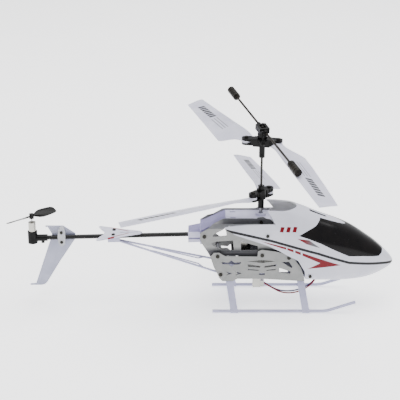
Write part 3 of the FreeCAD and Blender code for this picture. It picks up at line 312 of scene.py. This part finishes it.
def blade_material(name, arm, bolt_r, azimuth, far, side):
    """Satin blade with plain dark bars printed on it; u runs out along the span."""
    net = Net(name)
    reach = -bolt_r if far else bolt_r
    root_x = MAST_X + reach * math.cos(math.radians(arm))
    root_y = reach * math.sin(math.radians(arm))
    c, s = math.cos(math.radians(azimuth)), math.sin(math.radians(azimuth))
    local = net.vector("SUBTRACT", net.place, (root_x, root_y, 0.0))
    u = net.vector("DOT_PRODUCT", local, (c, s, 0.0))
    v = net.vector("DOT_PRODUCT", local, (-s * side, c * side, 0.0))
    slanted = net.math("MULTIPLY_ADD", v, BAR_SLANT, u)
    count = net.math("MULTIPLY_ADD", slanted, 1.0 / BAR_PITCH, -BAR_START / BAR_PITCH)
    beat = net.math("FRACT", count)
    bars = net.both(net.band(slanted, BAR_START, BAR_END), net.falls(beat, BAR_FILL, 0.05))
    bars = net.both(bars, net.band(v, *BAR_ACROSS))
    rows = net.math("FRACT", net.math("MULTIPLY", v, 1.0 / LINE_PITCH))
    lines = net.both(net.band(u, *LINE_SPAN), net.band(rows, *LINE_FILL, 0.1))
    lines = net.both(lines, net.band(v, *LINE_ACROSS))
    drift = net.spread(net.noise(0.06, 3.0), 0.0, 1.0)
    colour = net.mix(drift, rgb(0.46, 0.46, 0.55), rgb(0.54, 0.54, 0.62))
    colour = net.mix(bars, colour, rgb(0.014, 0.014, 0.017))
    colour = net.mix(net.math("MULTIPLY", lines, 0.8), colour, rgb(0.10, 0.10, 0.12))
    gloss = net.spread(net.noise(0.4, 5.0), 0.28, 0.4)
    net.bump(net.noise(1.2, 3.0, 0.5, (1.0, 1.0, 3.0)), 0.08)
    return net.finish(colour, gloss, scatter=0.2, gloss=0.3)


# ---------------------------------------------------------------- stabilizer
STRIPE_SWEEP = 1.75
STRIPE_BACK = (9.6, 7.2)    # behind the leading corner
STRIPE_SIDE = (2.0, 12.2)   # out from the boom


def stabilizer_material():
    net = Net("stabilizer_paint")
    tint = net.spread(net.noise(0.09, 3.0), 0.0, 1.0)
    colour = net.mix(tint, rgb(0.52, 0.52, 0.62), rgb(0.60, 0.60, 0.69))
    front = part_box("horizontal_stabilizer")[1][0] / MM
    x = net.vector("DOT_PRODUCT", net.place, (1.0, 0.0, 0.0))
    y = net.math("ABSOLUTE", net.vector("DOT_PRODUCT", net.place, (0.0, 1.0, 0.0)))
    lead = net.math("MULTIPLY_ADD", y, STRIPE_SWEEP, x)
    along = net.band(lead, front - STRIPE_BACK[0], front - STRIPE_BACK[1])
    stripe_mask = net.both(along, net.band(y, *STRIPE_SIDE))
    colour = net.mix(stripe_mask, colour, rgb(0.17, 0.004, 0.010))
    gloss = net.spread(net.noise(0.5, 5.0), 0.26, 0.38)
    net.bump(net.noise(2.0, 3.0), 0.1)
    return net.finish(colour, gloss, scatter=0.2, gloss=0.35)


lilac = plastic("lilac_plastic", rgb(0.36, 0.36, 0.50), rgb(0.45, 0.45, 0.59),
                (0.28, 0.4), scatter=0.2, gloss=0.35)
fin_lilac = plastic("fin_plastic", rgb(0.30, 0.31, 0.41), rgb(0.37, 0.38, 0.48),
                    (0.28, 0.4), scatter=0.2, gloss=0.35)
clear = plastic("clear_plastic", rgb(0.52, 0.53, 0.57), rgb(0.66, 0.67, 0.70),
                (0.14, 0.26), scatter=0.1, clear=0.35)
black = plastic("black_plastic", rgb(0.002, 0.002, 0.002), rgb(0.006, 0.006, 0.006),
                (0.24, 0.38), 3.0, 0.2, gloss=0.12)
rubber = plastic("weight_black", rgb(0.008, 0.0075, 0.006), rgb(0.020, 0.018, 0.015),
                 (0.32, 0.5), 3.0, 0.25, gloss=0.12)
screen = plastic("screen_gloss", rgb(0.0025, 0.0025, 0.003), rgb(0.006, 0.005, 0.005),
                 (0.10, 0.2), 0.4, 0.04, coat=0.05, coat_rough=0.05, gloss=0.1)
boom = plastic("boom_gloss", rgb(0.003, 0.003, 0.003), rgb(0.010, 0.010, 0.010),
               (0.14, 0.26), 3.0, 0.1, coat=0.08, gloss=0.15)
connector = plastic("nylon_connector", rgb(0.52, 0.51, 0.45), rgb(0.62, 0.61, 0.55),
                    (0.34, 0.5), 2.5, 0.15, scatter=0.1)
gear = plastic("nylon_gear", rgb(0.5, 0.5, 0.48), rgb(0.6, 0.6, 0.58),
               (0.3, 0.44), 2.5, 0.15, scatter=0.1)
plug_wrap = plastic("battery_shrink_wrap", rgb(0.03, 0.08, 0.24), rgb(0.05, 0.13, 0.34),
                    (0.2, 0.36), 0.5, 0.4)
solder_mask = plastic("solder_mask", rgb(0.01, 0.08, 0.03), rgb(0.03, 0.14, 0.06),
                      (0.24, 0.4), 1.5, 0.3)
wire_red = plastic("wire_red_skin", rgb(0.13, 0.002, 0.004), rgb(0.20, 0.005, 0.010),
                   (0.3, 0.45), 1.5, 0.15, gloss=0.3)
wire_blue = plastic("wire_blue_skin", rgb(0.012, 0.008, 0.055), rgb(0.03, 0.02, 0.10),
                    (0.3, 0.45), 1.5, 0.15, gloss=0.3)
steel = metal("polished_steel", rgb(0.22, 0.22, 0.23), rgb(0.40, 0.40, 0.41))
dark_steel = plastic("blackened_rod", rgb(0.006, 0.005, 0.004), rgb(0.018, 0.015, 0.012),
                     (0.24, 0.38), 3.0, 0.12, gloss=0.18)
can = metal("motor_can", rgb(0.34, 0.33, 0.30), rgb(0.50, 0.49, 0.45),
            (0.22, 0.38), (1.0, 1.0, 0.2))
brass = metal("turned_brass", rgb(0.40, 0.28, 0.10), rgb(0.58, 0.43, 0.18),
              (0.2, 0.34))
screw = metal("black_oxide", rgb(0.012, 0.012, 0.011), rgb(0.05, 0.048, 0.042),
              (0.28, 0.45), (1.0, 1.0, 1.0))


def frame_material():
    """Lavender deck; the sloped rear and the groove along the boom socket's lower line carry
    painted shade in a deeper violet.
    """
    net = Net("frame_lilac_paint")
    tint = net.spread(net.noise(0.09, 3.0), 0.0, 1.0)
    light = net.mix(tint, rgb(0.47, 0.46, 0.60), rgb(0.55, 0.54, 0.67))
    painted_shade_violet = net.mix(tint, rgb(0.17, 0.155, 0.30), rgb(0.24, 0.22, 0.38))
    x = net.vector("DOT_PRODUCT", net.place, (1.0, 0.0, 0.0))
    z = net.vector("DOT_PRODUCT", net.place, (0.0, 0.0, 1.0))
    # Painted shade: the sloped rear sides above z 70, the rear end face and the groove at z 63 to
    # 64.6 are darkened to the deeper violet.
    rear_painted_shade = net.both(net.band(x, 0.3, 22.6, 0.8), net.rises(z, 70.0, 3.0))
    rear_painted_shade = net.either([rear_painted_shade, net.both(net.falls(x, 0.3), net.rises(z, 70.0, 0.4)),
                        net.both(net.falls(x, 2.0), net.band(z, 63.0, 64.6, 0.3))])
    colour = net.mix(rear_painted_shade, light, painted_shade_violet)
    net.bump(net.noise(2.2, 3.0), 0.1)
    return net.finish(colour, net.spread(net.noise(0.5, 5.0), 0.26, 0.4), scatter=0.15, gloss=0.35)


def plate_material(name, dark, light, shaded=False):
    net = Net(name)
    tint = net.spread(net.noise(0.12, 3.0), 0.0, 1.0)
    grain = net.noise(2.4, 6.0, 0.7)
    colour = net.mix(tint, dark, light)
    colour = net.mix(net.spread(grain, 0.0, 0.12), colour, rgb(0.14, 0.14, 0.145))
    if shaded:
        z = net.vector("DOT_PRODUCT", net.place, (0.0, 0.0, 1.0))
        x = net.vector("DOT_PRODUCT", net.place, (1.0, 0.0, 0.0))
        arm = net.both(net.rises(z, 79.4, 1.6), net.rises(x, 17.0, 8.0))
        band = net.falls(z, 57.4, 5.0)
        outer_face = net.outward((0.0, 0.0, 90.0))
        shade = net.both(net.either([arm, band]), outer_face)
        colour = net.mix(shade, colour, rgb(0.055, 0.055, 0.062))
    gloss = net.spread(net.noise(0.7, 6.0), 0.36, 0.52)
    net.bump(grain, 0.12)
    return net.finish(colour, gloss, metal=0.15, gloss=0.35)


plate = plate_material("plate_satin", rgb(0.205, 0.21, 0.205), rgb(0.25, 0.25, 0.245))
plate_upper = plate_material("plate_satin_upper", rgb(0.20, 0.205, 0.20),
                             rgb(0.245, 0.245, 0.24), shaded=True)

paint = {
    "canopy_shell": canopy_material(), "windscreen": screen, "top_frame": frame_material(),
    "base_frame": lilac, "motor_bracket": black,
    "upper_side_plate_left": plate_upper, "upper_side_plate_right": plate_upper,
    "lower_side_plate_left": plate, "lower_side_plate_right": plate, "frame_posts": steel,
    "frame_screws": screw, "mast_bearings": steel, "main_motors": can, "tail_boom": boom,
    "horizontal_stabilizer": stabilizer_material(), "stabilizer_clamp": lilac, "tail_screws": screw,
    "tail_strut": lilac, "vertical_fin": fin_lilac, "fin_clamp": clear, "tail_motor_mount": black,
    "tail_motor": can, "battery_pack": plug_wrap, "circuit_board": solder_mask,
    "power_switch_body": black, "power_switch_knob": connector, "battery_socket": connector,
    "battery_plug": connector, "outer_shaft": steel, "inner_shaft": dark_steel,
    "upper_main_gear": gear, "lower_main_gear": gear, "outer_shaft_collar": black,
    "lower_rotor_hub": black, "lower_blade_bolts": screw, "mast_collars": black,
    "mast_pivot_pins": steel, "upper_blade_holder": black, "upper_blade_bolts": screw,
    "flybar_ring": black, "flybar_rods": dark_steel, "flybar_weights": rubber,
    "flybar_link_near": black, "flybar_link_far": black, "rear_drive_pinion": brass,
    "front_drive_pinion": brass, "tail_motor_shaft": steel, "tail_propeller": black,
    "upper_blade_near": blade_material("print_upper_near", -12.0, 14.0, -76.5, False, 1.0),
    "upper_blade_far": blade_material("print_upper_far", -12.0, 14.0, 110.0, True, 1.0),
    "lower_blade_far": blade_material("print_lower_far", 45.0, 10.5, 100.5, False, -1.0),
    "lower_blade_near": blade_material("print_lower_near", 45.0, 10.5, 204.0, True, -1.0),
}
for end in ("front", "rear"):
    for side in ("left", "right"):
        paint["landing_leg_%s_%s" % (end, side)] = lilac
for side in ("left", "right"):
    paint["skid_tube_" + side] = lilac

for name, node in nodes.items():
    material = paint.get(name)
    if material is None:
        continue
    node.data.materials.clear()
    node.data.materials.append(material)
for colour, material in (("red", wire_red), ("blue", wire_blue)):
    wires[colour].data.materials.append(material)


# ---------------------------------------------------------------- floor and light
def floor():
    mesh = bpy.data.meshes.new("floor")
    size = 8.0
    corners = [(-size, -size, 0.0), (size, -size, 0.0), (size, size, 0.0), (-size, size, 0.0)]
    mesh.from_pydata(corners, [], [(0, 1, 2, 3)])
    ground = bpy.data.objects.new("floor", mesh)
    bpy.context.collection.objects.link(ground)
    net = Net("floor_paint")
    tint = net.spread(net.noise(0.004, 2.0), 0.0, 1.0)
    colour = net.mix(tint, rgb(0.93, 0.93, 0.935), rgb(0.95, 0.95, 0.95))
    net.shader.inputs["Emission Color"].default_value = rgb(1.0, 1.0, 1.0)
    net.shader.inputs["Emission Strength"].default_value = 1.1
    mesh.materials.append(net.finish(colour, net.spread(net.noise(0.01, 2.0), 0.7, 0.8), gloss=0.1))


floor()


def lamp(name, place, aim, size, power):
    light = bpy.data.lights.new(name, "AREA")
    light.shape = "DISK"
    light.size = size
    light.energy = power
    lamp_object = bpy.data.objects.new(name, light)
    lamp_object.location = place
    direction = [a - p for a, p in zip(aim, place)]
    flat = math.hypot(direction[0], direction[1])
    lamp_object.rotation_euler = (math.atan2(flat, -direction[2]), 0.0,
                                  math.atan2(direction[1], direction[0]) - math.pi / 2.0)
    bpy.context.collection.objects.link(lamp_object)


lamp("key", (-0.4, -0.5, 1.6), (0.0, 0.0, 0.06), 1.6, 20.0)
lamp("top", (0.3, 0.4, 1.6), (0.0, 0.0, 0.06), 1.6, 34.0)

world = bpy.data.worlds.new("studio")
world.use_nodes = True
background = world.node_tree.nodes["Background"]
background.inputs["Color"].default_value = rgb(0.97, 0.975, 1.0)
background.inputs["Strength"].default_value = 0.9
bpy.context.scene.world = world
